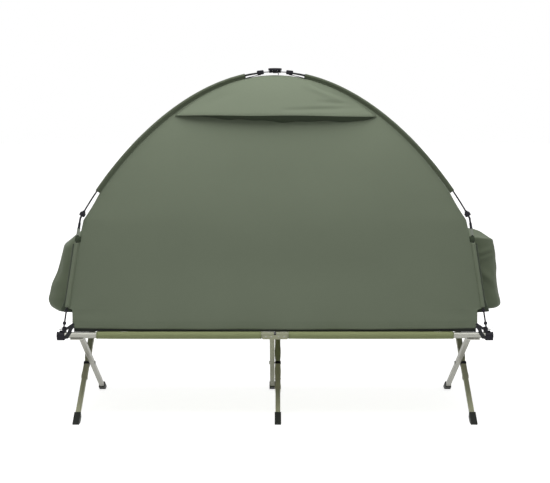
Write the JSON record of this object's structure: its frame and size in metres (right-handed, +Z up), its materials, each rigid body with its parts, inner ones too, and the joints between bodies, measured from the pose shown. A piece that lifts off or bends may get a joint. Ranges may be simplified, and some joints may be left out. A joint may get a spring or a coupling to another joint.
{
  "type": "tent cot",
  "caption": "Folding camp bed on crossed tubular legs with a closed dome tent standing on its rails.",
  "frame": {"origin": "on the floor under the middle of the bed", "axes": "+X along the bed to the right as seen from the front, +Y from the front to the back with the doorway, +Z up"},
  "size_m": [2.1084, 0.6922, 1.5794],
  "materials": {
    "rail_tube": "satin bare tube",
    "leg_bare": "satin bare square tube",
    "leg_tube": "pale olive satin",
    "bolt_steel": "zinc plated",
    "foot_rubber": "matt black",
    "fitting_plastic": "matt black",
    "strap_webbing": "black woven webbing",
    "pole_rod": "dark grey glass fibre rod",
    "bed_canvas": "olive woven cloth",
    "canopy_cloth": "grey-green coated cloth",
    "floor_cloth": "dark coated cloth"
  },
  "bodies": {
    "bolts": {"cross_bolt_left": "bolt_steel", "cross_bolt_middle": "bolt_steel", "cross_bolt_right": "bolt_steel"},
    "front_frame": {"rail_front_left": "rail_tube", "rail_front_right": "rail_tube", "leg_front_left": "leg_bare", "leg_front_middle": "leg_tube", "leg_front_right": "leg_bare", "foot_front_left": "foot_rubber", "foot_front_middle": "foot_rubber", "foot_front_right": "foot_rubber", "corner_fitting_front_left": "fitting_plastic", "corner_fitting_front_right": "fitting_plastic", "tie_strap_front_left": "strap_webbing", "tie_strap_front_right": "strap_webbing"},
    "back_frame": {"rail_back_left": "rail_tube", "rail_back_right": "rail_tube", "leg_back_left": "leg_tube", "leg_back_middle": "leg_tube", "leg_back_right": "leg_tube", "foot_back_left": "foot_rubber", "foot_back_middle": "foot_rubber", "foot_back_right": "foot_rubber", "corner_fitting_back_left": "fitting_plastic", "corner_fitting_back_right": "fitting_plastic", "tie_strap_back_left": "strap_webbing", "tie_strap_back_right": "strap_webbing"},
    "bed": {"bed_cloth": "bed_canvas"},
    "tent": {"lower_pole_front_left": "pole_rod", "lower_pole_front_right": "pole_rod", "lower_pole_back_left": "pole_rod", "lower_pole_back_right": "pole_rod", "upper_pole_front_left": "pole_rod", "upper_pole_front_right": "pole_rod", "upper_pole_back_left": "pole_rod", "upper_pole_back_right": "pole_rod", "pole_sleeve_front_left": "canopy_cloth", "pole_sleeve_front_right": "canopy_cloth", "pole_sleeve_back_left": "canopy_cloth", "pole_sleeve_back_right": "canopy_cloth", "elbow_front_left": "fitting_plastic", "elbow_front_right": "fitting_plastic", "elbow_back_left": "fitting_plastic", "elbow_back_right": "fitting_plastic", "pole_clip_front_left": "fitting_plastic", "pole_clip_front_right": "fitting_plastic", "pole_clip_back_left": "fitting_plastic", "pole_clip_back_right": "fitting_plastic", "hub_arm_front_left": "fitting_plastic", "hub_arm_front_right": "fitting_plastic", "hub_arm_back_left": "fitting_plastic", "hub_arm_back_right": "fitting_plastic", "hub": "fitting_plastic", "canopy": "canopy_cloth", "tent_floor": "floor_cloth", "vent_brow": "canopy_cloth", "end_hood_left": "canopy_cloth", "end_hood_right": "canopy_cloth", "door_roll": "canopy_cloth"}
  },
  "joints": [
    {"name": "leg_fold", "type": "hinge", "parent": "bolts", "child": "front_frame", "pos_m": [0, 0, 0.20384], "axis": [-1, 0, 0], "range_deg": [0, 50], "deforming": ["bed_cloth", "tent_floor", "canopy", "vent_brow", "end_hood_left", "end_hood_right", "door_roll", "pole_sleeve_front_left", "pole_sleeve_front_right", "pole_sleeve_back_left", "pole_sleeve_back_right", "upper_pole_front_left", "upper_pole_front_right", "upper_pole_back_left", "upper_pole_back_right", "lower_pole_front_left", "lower_pole_front_right", "lower_pole_back_left", "lower_pole_back_right"]},
    {"name": "back_fold", "type": "hinge", "parent": "bolts", "child": "back_frame", "pos_m": [0, 0, 0.20384], "axis": [1, 0, 0], "range_deg": [0, 50]},
    {"name": "bed_rise", "type": "slide", "parent": "bolts", "child": "bed", "axis": [0, 0, 1], "range_m": [0, 0.17454]},
    {"name": "tent_lift", "type": "slide", "parent": "bed", "child": "tent", "axis": [0, 0, 1], "range_m": [0, 0.3]}
  ],
  "couplings": [
    {"joint": "back_fold", "follows": "leg_fold", "ratio": 1},
    {"joint": "bed_rise", "follows": "leg_fold", "m_per_rad": 0.2}
  ]
}
